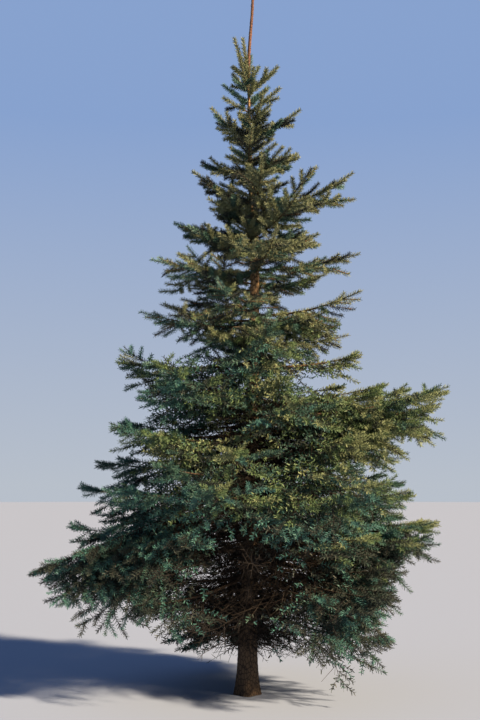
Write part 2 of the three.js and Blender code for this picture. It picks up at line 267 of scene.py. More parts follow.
def trunk_point(angle, share):
    height = TRUNK_TOP * share**RING_CROWDING
    out = Vector((sin(angle), -cos(angle), 0))
    flare = FLARE * exp(-height / FLARE_HEIGHT)
    flare *= 1 - FLARE_DEPTH * (1 - cos(FLARE_LOBES * angle))
    radius = trunk_radius(height)
    near = min(abs(height - h) for h in WHORL_HEIGHTS)
    radius *= 1 + WHORL_SWELL * exp(-((near / WHORL_SWELL_HEIGHT) ** 2))
    radius += flare
    skin = centre_at(height) + out * radius
    relief = min(SCALE_RELIEF, MOST_RELIEF * radius)
    return skin + out * relief * (flakes(skin, SCALE_SIZE) - SUNK)


def bark(name, young, old, deep, scale):
    """Spruce bark: matt thin flakes between dark cracks. It has its young colour high on the tree, and
    is greyer and darker where it is old, in patches."""
    made = bpy.data.materials.new(name)
    made.use_nodes = True
    tree = made.node_tree
    place = put(tree, "ShaderNodeTexCoord", {}).outputs["Object"]
    stretched = put(tree, "ShaderNodeMapping", {"Vector": place, "Scale": (1, 1, SCALE_FLATTENING)})
    stretch = stretched.outputs["Vector"]
    cracks = put(
        tree,
        "ShaderNodeTexVoronoi",
        {"Vector": stretch, "Scale": 1 / scale, "Randomness": 1},
        feature="DISTANCE_TO_EDGE",
    )
    patches = put(
        tree,
        "ShaderNodeTexNoise",
        {"Vector": stretch, "Scale": PATCHES / scale, "Detail": 4},
    )
    level = put(tree, "ShaderNodeSeparateXYZ", {"Vector": place}).outputs["Z"]
    ageing = put(
        tree,
        "ShaderNodeMapRange",
        {"Value": level, "From Min": OLD_BARK_TO, "From Max": YOUNG_BARK_FROM},
    )
    youth = put(
        tree,
        "ShaderNodeMath",
        {0: ageing.outputs["Result"], 1: patches.outputs["Fac"], 2: YOUNG_EVERYWHERE},
        operation="MULTIPLY_ADD",
    )
    grit = put(tree, "ShaderNodeTexNoise", {"Vector": place, "Scale": GRIT / scale, "Detail": 3})
    tint = put(
        tree,
        "ShaderNodeMix",
        {0: youth.outputs["Value"], 6: linear(old), 7: linear(young)},
        data_type="RGBA",
    )
    edge = put(
        tree,
        "ShaderNodeMapRange",
        {"Value": cracks.outputs["Distance"], "From Max": CRACK_WIDTH},
    )
    colour = put(
        tree,
        "ShaderNodeMix",
        {0: edge.outputs["Result"], 6: linear(deep), 7: tint.outputs[2]},
        data_type="RGBA",
    )
    bump = put(
        tree,
        "ShaderNodeBump",
        {"Height": grit.outputs["Fac"], "Strength": 0.5, "Distance": GRIT_HEIGHT * scale},
    )
    put(
        tree,
        tree.nodes["Principled BSDF"],
        {
            "Base Color": colour.outputs[2],
            "Roughness": 0.88,
            "Normal": bump.outputs["Normal"],
        },
    )
    return made


trunk_bark = bark("flaking_spruce_bark", "#c4a277", "#42362d", "#1a1410", SCALE_SIZE)
bm = bmesh.new()
roll(bm, TRUNK_SIDES, TRUNK_RINGS, trunk_point)
close_ends(bm)
trunk = piece_of(bm, "trunk_bark", trunk_bark)
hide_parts("trunk")


# The boughs
# Each is one tapering limb with the same bark in finer flakes. It leaves the trunk in a whorl, rises
# steeply near the top of the tree, sags at its middle and turns up at its tip. Thinner limbs stand
# between the whorls.
WHORLS = [
    # height on the trunk, number of boughs, azimuth of the first, reach
    (4.84, 3, 12, 0.235),
    (4.66, 2, 190, 0.26),
    (4.4, 4, 8, 0.42),
    (4.15, 3, 155, 0.48),
    (3.86, 4, 8, 0.64),
    (3.59, 3, 172, 0.7),
    (3.29, 4, 4, 0.84),
    (2.96, 4, -20, 0.88),
    (2.59, 4, 10, 1.0),
    (2.15, 5, -3, 1.12),
    (1.75, 5, 20, 1.25),
    (1.33, 5, -3, 1.35),
    (0.95, 4, 20, 1.27),
    (0.62, 3, -14, 1.18),
]
HEIGHT_SCATTER = 0.018
AZIMUTH_SCATTER = 8
REACH_SCATTER = 0.06
RISE_AT_TOP = 2.2
RISE_FADE = 1.15
RISE_LOSS = 0.02
SAG = 0.045
WANDER = 0.05
DROOP_FROM = 1.5
DROOP_RATE = 1 / 5.5
MOST_DROOP = 0.6
SINGLE = {  # boughs that differ from the rule
    "2_1": {"reach": 0.215, "rise": 0.5},
    "3_3": {"reach": 0.32, "rise": 0.95},
    "4_1": {"reach": 0.47, "rise": 0.3},
    "5_1": {"reach": 0.86, "rise": 0.42, "sag": 0.09},
    "5_3": {"reach": 0.5, "rise": 0.5},
    "6_1": {"reach": 0.68, "rise": 0.2},
    "7_1": {"reach": 0.85, "rise": 0.16},
    "7_3": {"reach": 0.84, "rise": 0.12},
    "8_3": {"reach": 0.8, "rise": 0.22},
    "9_1": {"reach": 0.89, "rise": 0.12},
    "9_3": {"reach": 1.09, "rise": 0},
    "10_1": {"height": 2.12, "reach": 1.56, "rise": 0.14, "sag": 0.03},
    "10_3": {"reach": 0.9},
    "10_4": {"reach": 0.86},
    "11_3": {"reach": 1.32},
    "12_1": {"reach": 1.5, "rise": -0.03},
    "12_2": {"reach": 1.4},
    "12_3": {"height": 1.5, "azimuth": 196, "reach": 1.7, "rise": -0.33, "sag": -0.02},
    "12_4": {"height": 1.55, "azimuth": 258, "reach": 1.35, "rise": 0.02, "droop": 0.35},
    "12_5": {"azimuth": 318, "reach": 1.2},
    "13_2": {"azimuth": 128},
    "13_3": {"azimuth": 316, "reach": 1.33, "rise": -0.16},
    "13_4": {"azimuth": 226, "reach": 1.15, "rise": -0.12},
    "14_1": {"rise": -0.2},
    "14_3": {"azimuth": 236, "reach": 0.76, "rise": -0.12, "dead": True},
}
BOUGH_TO_TRUNK = 0.45  # share of the trunk's radius at most
BOUGH_RADIUS = 0.005
BOUGH_RADIUS_GAIN = 0.0105
BOUGH_TAPER = 0.8
BOUGH_TIP_RADIUS = 0.002
COLLAR = 0.5  # how much thicker a bough is where it leaves the trunk
COLLAR_LENGTH = 0.03
BOUGH_SCALE_SIZE = 0.6 * SCALE_SIZE
BOUGH_RELIEF = 0.14  # of the bough's radius
BOUGH_SUNK = 0.7
BOUGH_SIDES, BOUGH_RINGS = 8, 48
BETWEEN = [  # limbs between each two whorls, and their reach for each metre of the whorls' reach
    (3, 0.72),
    (7, 0.5),
    (7, 0.48),
    (6, 0.55),
    (6, 0.62),
    (6, 0.7),
    (7, 0.75),
    (8, 0.85),
    (10, 0.9),
    (10, 0.94),
    (10, 0.94),
    (10, 0.94),
    (9, 0.94),
]
BETWEEN_HEIGHTS = (0.15, 0.85)  # shares of the way from one whorl to the next
BETWEEN_SCATTER = 0.2
LONG_BOUGHS = ["10_1", "12_1", "12_3", "13_3"]
BESIDE = [  # each long bough's thinner companions: turn in degrees, height above it, share of its reach
    (13, 0.07, 0.86),
    (-12, -0.06, 0.8),
    (4, 0.13, 0.7),
    (24, -0.02, 0.68),
    (-5, -0.1, 0.95),
    (4, 0.03, 0.97),
]
FILLING_RISE, FILLING_RISE_FROM = 0.3, 2.5  # slope of a filling limb for each metre above that height
FILLING_LIMBS = [  # more thin limbs, where the crown would look thin: height, azimuth, reach
    (4.02, 262, 0.26),
    (3.92, 283, 0.3),
    (3.66, 274, 0.36),
    (3.54, 255, 0.4),
    (2.86, 283, 0.5),
    (2.74, 262, 0.55),
    (2.52, 276, 0.66),
    (2.44, 262, 0.74),
    (2.34, 284, 0.78),
    (2.28, 252, 0.7),
    (2.52, 203, 0.92),
    (2.36, 222, 0.95),
    (2.08, 188, 1.05),
    (1.96, 228, 1.1),
    (1.98, 332, 1.15),
    (1.62, 345, 1.2),
    (1.12, 350, 1.22),
    (1.0, 332, 1.2),
    (0.84, 4, 1.15),
    (0.78, 344, 1.1),
    (0.52, 332, 0.95),
    (0.5, 8, 0.95),
    (0.8, 62, 1.15),
    (0.74, 96, 1.1),
    (0.8, 128, 1.15),
    (0.52, 78, 0.95),
    (0.5, 112, 0.95),
    (1.28, 186, 1.42),
    (1.12, 204, 1.34),
    (0.9, 190, 1.22),
]
GAPS = [  # in the crown, where no limb stands between whorls: heights and azimuths that they span
    (1.96, 2.3, 225, 315),
    (3.0, 3.36, 225, 315),
    (0, 0.85, 145, 250),
]
BETWEEN_RADIUS = 0.6  # times that of a whorl's bough
GOLDEN_TURN = 137.5  # degrees
DEAD_BELOW = 1.3  # limbs between whorls that grow towards the viewer lower than this are dead
TOWARDS_VIEWER = -0.3  # sine of their azimuth
BOX_MARGIN = 0.03  # that these limbs keep from the sides of the crown's box
UPRIGHT = 0.05  # sine of a path's angle from upright below which its side is the viewer's right


def chance(a, b, c):
    """A number from 0 to 1 that is always the same for the same three whole numbers: a seed, and two
    more that tell its draws apart."""
    h = ((a + 1) * 374761393 ^ (b + 1) * 668265263 ^ (c + 1) * 1103515245) & 0xFFFFFFFF
    h = (h ^ h >> 13) * 1274126177 & 0xFFFFFFFF
    h = (h ^ h >> 15) * 97931 & 0xFFFFFFFF
    return (h ^ h >> 16) / 2**32


def swing(a, b, c):
    """The same number, spread from -1 to 1."""
    return 2 * chance(a, b, c) - 1


def habit(height):
    """How a bough at a height rises, sags and lets its twigs droop."""
    depth = TREE_HEIGHT - height
    return {
        "rise": RISE_AT_TOP * exp(-depth / RISE_FADE) - RISE_LOSS * depth,
        "sag": SAG,
        "droop": min(MOST_DROOP, max(0, DROOP_RATE * (depth - DROOP_FROM))),
    }


def whorl_boughs():
    """Every bough that the solids have, by their rule."""
    for w, (height, count, turn, reach) in enumerate(WHORLS):
        depth = TREE_HEIGHT - height
        for i in range(count):
            seed = 10 * w + i
            rule = habit(height) | {
                "name": f"{w + 1}_{i + 1}",
                "whorl": w + 1,
                "seed": seed,
                "height": height + HEIGHT_SCATTER * depth * swing(seed, 0, 1),
                "azimuth": turn + 360 * i / count + AZIMUTH_SCATTER * swing(seed, 0, 2),
                "reach": reach * (1 + REACH_SCATTER * swing(seed, 0, 3)),
                "dead": False,
                "between": False,
            }
            yield rule | SINGLE.get(rule["name"], {})


def in_gap(height, azimuth):
    """Whether a limb would stand where the crown is open."""
    for bottom, top, turned_from, turned_to in GAPS:
        if bottom < height < top and turned_from < azimuth % 360 < turned_to:
            return True
    return False


def between_boughs():
    """Thinner limbs between each two whorls, turned on from one to the next by the golden angle."""
    for w, (count, share) in enumerate(BETWEEN):
        (top, _, _, reach_above), (low, _, _, reach_below) = WHORLS[w], WHORLS[w + 1]
        reach = share * mix(reach_above, reach_below, 0.5)
        for i in range(count):
            seed = 500 + 10 * w + i
            height = mix(top, low, mix(*BETWEEN_HEIGHTS, chance(seed, 0, 1)))
            azimuth = GOLDEN_TURN * (i + 5 * w) + AZIMUTH_SCATTER * swing(seed, 0, 2)
            if in_gap(height, azimuth):
                continue
            yield habit(height) | {
                "name": f"{w + 1}_{i + 1}_between",
                "whorl": w + 1,
                "seed": seed,
                "height": height,
                "azimuth": azimuth,
                "reach": reach * (1 + BETWEEN_SCATTER * swing(seed, 0, 3)),
                "dead": height < DEAD_BELOW and sin(radians(azimuth)) < TOWARDS_VIEWER,
                "between": True,
            }


def filling_boughs():
    """Thinner limbs at chosen places."""
    for k, (height, azimuth, reach) in enumerate(FILLING_LIMBS):
        yield habit(height) | {
            "name": f"filling_{k + 1}",
            "whorl": sum(row[0] > height for row in WHORLS),
            "seed": 900 + k,
            "height": height,
            "azimuth": azimuth,
            "reach": reach,
            "rise": FILLING_RISE * max(0, height - FILLING_RISE_FROM),
            "dead": False,
            "between": True,
        }


def beside_boughs(long_boughs):
    """Thinner limbs beside the longest boughs, which make them broad plates."""
    for bough in long_boughs:
        for k, (turn, above, share) in enumerate(BESIDE):
            yield bough | {
                "name": f"{bough['name']}_beside_{k + 1}",
                "seed": bough["seed"] + 700 + 200 * k,
                "height": bough["height"] + above,
                "azimuth": bough["azimuth"] + turn,
                "reach": share * bough["reach"],
                "between": True,
            }


def bough_path(bough):
    """Centre line of a bough: it sags at its middle, turns up at its tip and wanders a little aside."""
    azimuth = radians(bough["azimuth"])
    out = Vector((cos(azimuth), sin(azimuth), 0))
    aside = Vector((-out.y, out.x, 0)) * WANDER * swing(bough["seed"], 0, 4)
    root = centre_at(bough["height"])
    reach, rise, sag = bough["reach"], bough["rise"], bough["sag"]

    def path(t):
        hump = sin(pi * t)
        return root + reach * (out * t + aside * hump + Z * (rise * t - sag * hump))

    return path


def bough_radius(bough, t):
    by_reach = BOUGH_RADIUS + BOUGH_RADIUS_GAIN * bough["reach"]
    at_trunk = min(BOUGH_TO_TRUNK * trunk_radius(bough["height"]), by_reach)
    if bough["between"]:
        at_trunk *= BETWEEN_RADIUS
    return mix(at_trunk, BOUGH_TIP_RADIUS, min(1, t) ** BOUGH_TAPER)


def frame_of(path, t):
    """Tangent, sideways and upward directions of a path at the share t of it."""
    step = 0.01
    tangent = (path(min(1, t + step)) - path(max(0, t - step))).normalized()
    side = tangent.cross(Z)
    side = side.normalized() if side.length > UPRIGHT else Vector((1, 0, 0))
    return tangent, side, side.cross(tangent)


def add_limb(bm, bough):
    """Rolls one bough's bark, from inside the trunk to its tip."""
    path = bough_path(bough)
    start = 0.5 * trunk_radius(bough["height"]) / bough["reach"]
    frames = {}

    def point(angle, share):
        t = mix(start, 1, share)
        if share not in frames:
            frames[share] = path(t), frame_of(path, t)
        centre, (_, side, normal) = frames[share]
        radius = bough_radius(bough, t)
        radius *= 1 + COLLAR * exp(-t * bough["reach"] / COLLAR_LENGTH)
        out = side * cos(angle) + normal * sin(angle)
        skin = centre + out * radius
        return skin + out * BOUGH_RELIEF * radius * (flakes(skin, BOUGH_SCALE_SIZE) - BOUGH_SUNK)

    rings = BOUGH_RINGS // 2 if bough["between"] else BOUGH_RINGS
    roll(bm, BOUGH_SIDES, rings, point)


def is_inside(p):
    return all(cad_low[i] + BOX_MARGIN < p[i] < cad_high[i] - BOX_MARGIN for i in range(3))


def nodes_named(start):
    return [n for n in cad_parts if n.startswith(start)]


boughs = [*whorl_boughs(), *between_boughs(), *filling_boughs()]
boughs += beside_boughs([b for b in boughs if b["name"] in LONG_BOUGHS])
for bough in boughs:
    while bough["between"] and not is_inside(bough_path(bough)(1)):
        bough["reach"] *= 0.95
bm = bmesh.new()
for bough in boughs:
    if not bough["dead"]:
        add_limb(bm, bough)
close_ends(bm)
bough_bark = bark("young_spruce_bark", "#806444", "#382d26", "#17110d", BOUGH_SCALE_SIZE)
limbs = piece_of(bm, "bough_bark", bough_bark)
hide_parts(*nodes_named("bough_"))


# The twigs
# Slim brown stems that branch again and again by the same rule: every third side twig of a bough is
# where the solids have one, shorter ones stand between them, and the last ones are this year's shoots.
BARE_SHARE = 0.34  # of the long boughs named next
BARE_NAMES = {"10_1", "12_1", "12_3", "13_3", "14_1"}
PAST_BARE = 0.03  # share of the bough from its bare part to its first twigs
FOLIAGE_FROM = 0.12
TIP_SHARE = 0.22
LEADING_SHOOT = 0.15  # length of an upper bough's last shoot, which has no side twigs
LEADING_SHARE = 0.4  # of the bough at most
NEEDLED_END = 0.42  # of a bough, which has needles of its own
NEEDLED_SHARE = (0.88, 0.55)  # that a longer bough has at least, in the upper crown and lower down
END_SHOOTS = 6  # beside the tip of a bough, which they stay short of
END_LENGTH = (0.2, 0.08)
FINER = 3  # side twigs for each one of the solids
ONE_FINGER = 0.3  # a shorter bough has no finer twigs
FINER_TILT = 0.35
TWIG_SPACING = 0.25
TWIG_SPACING_RANGE = (0.15, 0.3)
TWIG_LENGTH = 0.56
TWIG_LENGTH_SCATTER = 0.14
TWIG_ANGLE = (64, 40)
TWIG_ANGLE_SCATTER = 7
TWIG_TILT = 0.6
FINER_LENGTH = (0.5, 0.85)  # of a side twig between two of the solids'
SHORTEST_TWIG = 0.15
SHORTEST_TWIG_SHARE = 0.5  # of its bough, where that is less
LONGEST_SHOOT = (0.31, 0.24)  # a longer stem branches again, in the open upper crown and lower down
OPEN_WHORLS = 8  # that the upper crown has
SHOOT_SPACING = 0.1
SHOOTS_FROM, SHOOTS_TO = 0.12, 0.86  # shares of a twig
SHOOT_LENGTH = 0.5  # longest side shoot, for each metre of its stem
SHOOT_LENGTH_SCATTER = 0.25
SHORTEST_SHOOT = 0.14
SHOOT_TILT = 0.35
SHOOT_RISE = 0.14
SHOOT_DROOP = 0.5  # of the droop of the bough's twigs
BEND = 0.2  # how far a twig turns up towards its tip, as a slope
SHOOT_BEND = 0.13
ROOM = 0.045  # how far a shoot may stand past the room of its mass
UNDERSIDE = (0.42, 0.09)  # height that the tips of the lowest twigs keep, at the trunk and far out
FAR_OUT = 0.95
TWIG_TIP_RADII = {"upper": 0.0026, "middle": 0.0012, "lower": 0.0012}
TWIG_RADIUS_GAIN = 0.0055  # for each metre of its length
OLD_BY_AGE = 0.9  # chance that a stem next to the trunk is old, less further out
TWIG_PAINTED_SHADE_HEIGHT = 2.8  # painted shade: height below which every twig gets the dark old bark
TAN_TWIGS = 0.6  # share of the bright twigs, of which the rest are orange


def twig_profile(share):
    """Length of a side twig at a share of the way, for each metre of the longest."""
    return (0.6 + 1.7 * share) * (1 - share) ** 0.9


def bent(root, direction, length, bend=BEND):
    """A stem as the numbers of its centre line, root + along * s + turn * s * s for s from 0 to 1."""
    turn = Z * bend * length
    return {"root": root, "along": direction * length - turn, "turn": turn, "length": length}


def at(stem, s):
    return stem["root"] + stem["along"] * s + stem["turn"] * s * s


def side_directions(path, t, share, sign, droop, tilt, seed, k):
    """The direction in which side twig k leaves a stem: aside, leaning forward and drooping."""
    tangent, side, normal = frame_of(path, t)
    angle = radians(mix(*TWIG_ANGLE, share) + TWIG_ANGLE_SCATTER * swing(seed, k, 5))
    direction = tangent * cos(angle) + side * sign * sin(angle) + normal * tilt * swing(seed, k, 6)
    return (direction - Z * droop).normalized()


def bough_twigs(bough, path):
    """Side twigs of a bough: in turn left and right, longest at a third of the way."""
    reach, seed = bough["reach"], bough["seed"]
    low, high = TWIG_SPACING_RANGE
    spacing = min(high, max(low, TWIG_SPACING * reach))
    start = BARE_SHARE + PAST_BARE if bough["name"] in BARE_NAMES else FOLIAGE_FROM
    end = 1 - TIP_SHARE / 2
    count = max(2, 2 * round(reach * (end - start) / spacing))
    if bough["whorl"] <= OPEN_WHORLS:
        end = min(end, 1 - min(LEADING_SHARE, LEADING_SHOOT / reach))
    finer = FINER if reach > ONE_FINGER else 1
    if bough["between"] and finer == 1:
        return
    for j in range(finer * count):
        share = (j + 0.5) / (finer * count)
        t = mix(start, end, share)
        k, own = divmod(j - finer // 2, finer)
        number = 100 + j if own else k
        sign = 1 if (j - finer // 2) % 2 else -1
        tilt = FINER_TILT if own else TWIG_TILT
        direction = side_directions(path, t, share, sign, bough["droop"], tilt, seed, number)
        length = TWIG_LENGTH * reach * twig_profile(share)
        length *= 1 + TWIG_LENGTH_SCATTER * swing(seed, number, 7)
        if own:
            length *= mix(*FINER_LENGTH, chance(seed, number, 9))
        shortest = min(SHORTEST_TWIG, SHORTEST_TWIG_SHARE * reach)
        yield bent(path(t), direction, max(shortest, length)) | {
            "seed": 31 * seed + number,
            "age": 1 - t,
            "droop": bough["droop"],
        }


def side_shoots(stem):
    """Side shoots of a twig by the same rule, closer together and more upright."""
    length, seed = stem["length"], stem["seed"]
    droop = SHOOT_DROOP * stem["droop"] - SHOOT_RISE

    def path(s):
        return at(stem, s)

    count = max(2, 2 * round(length * (SHOOTS_TO - SHOOTS_FROM) / SHOOT_SPACING))
    for k in range(count):
        share = (k + 0.5) / count
        t = mix(SHOOTS_FROM, SHOOTS_TO, share)
        sign = -1 if k % 2 else 1
        direction = side_directions(path, t, share, sign, droop, SHOOT_TILT, seed, k)
        long = SHOOT_LENGTH * length * twig_profile(share)
        long *= 1 + SHOOT_LENGTH_SCATTER * swing(seed, k, 7)
        yield bent(path(t), direction, max(SHORTEST_SHOOT, long), SHOOT_BEND) | {
            "seed": 31 * seed + k,
            "age": stem["age"] * (1 - share),
            "droop": stem["droop"],
        }


def grow(stem, has_room, longest, grown):
    """Adds a stem to those grown so far, and if it is long the side shoots that have room."""
    stem["branches"] = stem["length"] > longest
    grown.append(stem)
    if stem["branches"]:
        for shoot in side_shoots(stem):
            if has_room(at(shoot, 1)):
                grow(shoot, has_room, longest, grown)


def room_of(name):
    """The test of a point for the room of a mass. A limb between whorls has the whole tree's."""
    node = "foliage_" + name
    low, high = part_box(node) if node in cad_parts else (cad_low, cad_high)
    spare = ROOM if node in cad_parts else 0

    def has_room(p):
        underside = mix(*UNDERSIDE, min(1, hypot(p.x, p.y) / FAR_OUT))
        return p.z > underside and all(low[i] - spare < p[i] < high[i] + spare for i in range(3))

    return has_room


def through(root, middle, end, **facts):
    """The stem through three points."""
    turn = 2 * (end + root - 2 * middle)
    length = (end - root).length
    return {"root": root, "along": end - root - turn, "turn": turn, "length": length, **facts}


def bough_ends(bough, path):
    """The last years' growth of a bough, which has needles of its own, in two stretches. Lower down
    there are shoots beside its tip too."""
    seed = 31 * bough["seed"]
    least = NEEDLED_SHARE[bough["whorl"] > OPEN_WHORLS]
    start = max(FOLIAGE_FROM, 1 - max(least, NEEDLED_END / bough["reach"]))
    joint = mix(start, 1, 0.5)
    for k, (a, b) in enumerate(((start, joint), (joint, 1))):
        facts = {"seed": seed + 96 + k, "age": 0, "branches": False, "on_bough": True}
        yield through(path(a), path(mix(a, b, 0.5)), path(b), **facts)
    for k in range(END_SHOOTS if bough["whorl"] > OPEN_WHORLS else 0):
        share = (k + 0.5) / END_SHOOTS
        length = mix(*END_LENGTH, share)
        t = 1 - length / bough["reach"]
        sign = 1 if k % 2 else -1
        direction = side_directions(path, t, 1, sign, 0, SHOOT_TILT, bough["seed"], 60 + k)
        facts = {"seed": seed + 80 + k, "age": 0, "branches": False}
        yield bent(path(t), direction, length, SHOOT_BEND) | facts


stems_of = {}
for bough in boughs:
    if bough["dead"]:
        continue
    path = bough_path(bough)
    grown = []
    has_room = room_of(bough["name"])
    longest = LONGEST_SHOOT[bough["whorl"] > OPEN_WHORLS]
    for twig in bough_twigs(bough, path):
        if has_room(at(twig, 1)):
            grow(twig, has_room, longest, grown)
    group = ("between_" if bough["between"] else "whorl_") + str(bough["whorl"])
    stems_of.setdefault(group, []).extend([*grown, *bough_ends(bough, path)])


def as_arrays(stems):
    """The centre lines of many stems as arrays."""
    return {k: np.array([s[k] for s in stems], float) for k in ("root", "along", "turn", "length")}


def frames_along(lines, which, s):
    """Centres, tangents, sideways and upward directions of stems at shares s of their centre lines."""
    s = s[:, None]
    centre = lines["root"][which] + lines["along"][which] * s + lines["turn"][which] * s * s
    tangent = lines["along"][which] + 2 * lines["turn"][which] * s
    tangent /= np.linalg.norm(tangent, axis=1)[:, None]
    side = np.cross(tangent, [0, 0, 1])
    size = np.linalg.norm(side, axis=1)[:, None]
    side = np.where(size > UPRIGHT, side / np.maximum(size, 1e-9), [1, 0, 0])
    return centre, tangent, side, np.cross(side, tangent)


def joined(name, corners, faces, materials, shades=None):
    """One mesh from many small ones: corners by number, and faces of three or four corners each."""
    mesh = bpy.data.meshes.new(name)
    mesh.vertices.add(len(corners))
    mesh.vertices.foreach_set("co", corners.astype(np.float32).ravel())
    mesh.loops.add(faces.size)
    mesh.loops.foreach_set("vertex_index", faces.astype(np.int32).ravel())
    mesh.polygons.add(len(faces))
    mesh.polygons.foreach_set("loop_start", np.arange(0, faces.size, faces.shape[1], dtype=np.int32))
    for material in materials:
        mesh.materials.append(material)
    if shades is not None:
        mesh.polygons.foreach_set("material_index", shades.astype(np.int32))
    mesh.update()
    made = bpy.data.objects.new(name, mesh)
    scene.collection.objects.link(made)
    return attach(made, "root")


def slim_stem(cuts):
    """A three-sided stem 1 long and 1 in radius, as corners and faces."""
    bm = bmesh.new()
    bmesh.ops.create_cone(bm, segments=3, radius1=1, radius2=1, depth=1)
    bmesh.ops.translate(bm, verts=bm.verts, vec=(0, 0, 0.5))
    long_edges = [e for e in bm.edges if abs(e.verts[0].co.z - e.verts[1].co.z) > 0.5]
    bmesh.ops.subdivide_edges(bm, edges=long_edges, cuts=cuts)
    corners = np.array([v.co for v in bm.verts])
    faces = np.array([[v.index for v in f.verts] for f in bm.faces if len(f.verts) == 4])
    bm.free()
    return corners, faces


def twig_mesh(name, stems, radius_at_root, radius_at_tip, materials, shades=None, cuts=1):
    """Stems of many twigs in one mesh. More cuts let them bend."""
    lines = as_arrays(stems)
    corners, faces = slim_stem(cuts)
    which = np.repeat(np.arange(len(stems)), len(corners))
    template = np.tile(corners, (len(stems), 1))
    centre, _, side, up = frames_along(lines, which, template[:, 2])
    radius = mix(radius_at_root[which], radius_at_tip, template[:, 2])[:, None]
    points = centre + radius * (side * template[:, :1] + up * template[:, 1:2])
    all_faces = (faces[None] + len(corners) * np.arange(len(stems))[:, None, None]).reshape(-1, 4)
    if shades is not None:
        shades = np.repeat(shades, len(faces))
    return joined(name, points, all_faces, materials, shades)


def plain(name, colour, roughness, sheen=0.0):
    """A finish of one colour, for things too small to show more: it varies by twig or spray."""
    made = bpy.data.materials.new(name)
    made.use_nodes = True
    put(
        made.node_tree,
        made.node_tree.nodes["Principled BSDF"],
        {"Base Color": linear(colour), "Roughness": roughness, "Sheen Weight": sheen},
    )
    return made


def twig_shade(stem):
    """Which finish a twig has: old ones, and as painted shade all twigs low in the crown, are dull
    brown, and young ones tan or orange.
    """
    if stem["branches"] or chance(stem["seed"], 6, 11) < OLD_BY_AGE * stem["age"]:
        return 0
    # painted shade: twigs low in the crown all get the dark old bark
    if at(stem, 1).z < TWIG_PAINTED_SHADE_HEIGHT:
        return 0
    return 1 if chance(stem["seed"], 7, 11) < TAN_TWIGS else 2


# Bark of twigs: dull dark brown on old wood, partly painted shade, and on all twigs low in the crown as
# painted shade; brighter and a little smoother on young shoots
twig_barks = [
    plain("old_twig_bark_and_painted_shade", "#2c241d", 0.85),
    plain("tan_twig_bark", "#6d4f33", 0.75),
    plain("orange_twig_bark", "#8a5c34", 0.7),
]
ZONES = {"upper": range(1, 9), "middle": range(9, 12), "lower": range(12, 15)}  # whorls
KINDS = {"twigs_": (True, 2), "shoots_": (False, 0)}  # whether they branch, and how often they bend
for zone, whorls in ZONES.items():
    groups = [kind + str(w) for kind in ("whorl_", "between_") for w in whorls]
    all_stems = [s for group in groups for s in stems_of.get(group, []) if "on_bough" not in s]
    for kind, (branching, cuts) in KINDS.items():
        stems = [s for s in all_stems if s["branches"] == branching]
        lengths = np.array([s["length"] for s in stems])
        shades = np.array([twig_shade(s) for s in stems])
        tip_radius = TWIG_TIP_RADII[zone]
        radii = tip_radius + TWIG_RADIUS_GAIN * lengths
        twigs = twig_mesh(kind + zone, stems, radii, tip_radius, twig_barks, shades, cuts)


# The needles
# Stiff needles, blue-green under a waxy bloom, in a spiral all round each shoot and leaning forward.
# Each is a tapering blade of two faces, larger than life. A whole spray has one colour: bluer and
# darker on the left and low down as painted shade, and more olive and lighter on the right and higher
# up as painted sunlight. Low inside the crown the needles have died.
NEEDLE_LENGTH = 0.029
NEEDLE_HALF_WIDTH = 0.0029
NEEDLE_ENDS = (0.75, 0.5)  # half width at its root and tip, as shares of the greatest
NEEDLES_AT = (1, 3, 6, 9, 14)  # whorls at which the next two are given
NEEDLE_STEPS = (0.0008, 0.00095, 0.0012, 0.0025, 0.0028)  # of shoot for each needle, fewer lower down
NEEDLE_WIDTHS = (1.05, 1.05, 1.05, 1.15, 1.2)  # times the half width, wider where they are fewer
NEEDLE_LENGTHS = (1.08, 1.1, 1.1, 1.05, 1.05)
INSIDE = (0.6, 0.88)  # shares of the lower crown's reach between which they reach their full number
INSIDE_STEP = 3.8  # times as far apart well inside, and wider by its root
OLD_NEEDLE_STEP = 1.4  # times as much on older stems
NEEDLE_LEAN = (60, 36)  # degrees from the stem, at the root and tip of a shoot
OPEN_NEEDLE_LEAN = (62, 50)  # on the thick shoots of the upper crown
LEAN_SCATTER = 8
NEEDLE_RISE = 0.18
LEAST_LENGTH, LENGTH_SPREAD = 0.85, 0.3  # shares of a needle's length
TIP_SHORTENING = 0.2  # of the needles at the tip of a shoot
NEEDLE_ROLL = 0.35  # scatter about flat on the shoot or on edge to it, by turns
GOLDEN_ANGLE = 2.39996
NEEDLED_FROM = 0.25  # of a stem that branches: needles have fallen before it
SHOOT_NEEDLED_FROM = 0.02
SHADED_HEIGHTS = (0.8, 1.4, 2.0, 2.6, 3.2)
SHADED_SHARES = (0.6, 0.48, 0.3, 0.12, 0)  # of the crown's reach at those heights, where they have died
SHADED_SPREAD = (0.8, 1.2)  # times as far, by stem
SHADED_BEHIND = 0.4  # times as far on the far side
FAR_SIDE = 0.4  # distance behind the trunk from which that holds in full
ABOVE_GROUND = 0.05  # where the lowest needles grow
SHADES = [
    # name of the finish, colour
    ("bloomed_needles", "#386a63"),
    ("blue_green_needles", "#2c5347"),
    ("green_needles", "#566f45"),
    ("olive_needles", "#75825a"),
    # the darkest finish: old needles' own darker green, deepened as painted shade inside the crown and
    # low down
    ("old_needles_and_painted_shade", "#1b2b23"),
    ("rusty_needles", "#74673a"),
    # lighter copies of the blue and olive finishes: young growth, lightened as painted light
    ("young_blue_needles_painted_light", "#587b70"),
    ("young_olive_needles_painted_light", "#6f7958"),
]
BLUE_GREEN, OLIVE, OLD_AND_SHADED, RUSTY, YOUNG_BLUE_PAINTED_LIGHT, YOUNG_OLIVE_PAINTED_LIGHT = 1, 3, 4, 5, 6, 7  # places in that list
OLD_AND_SHADED_SHARE = 0.6  # share of the old stems' sprays that get the darkest finish, of which the rest are blue-green
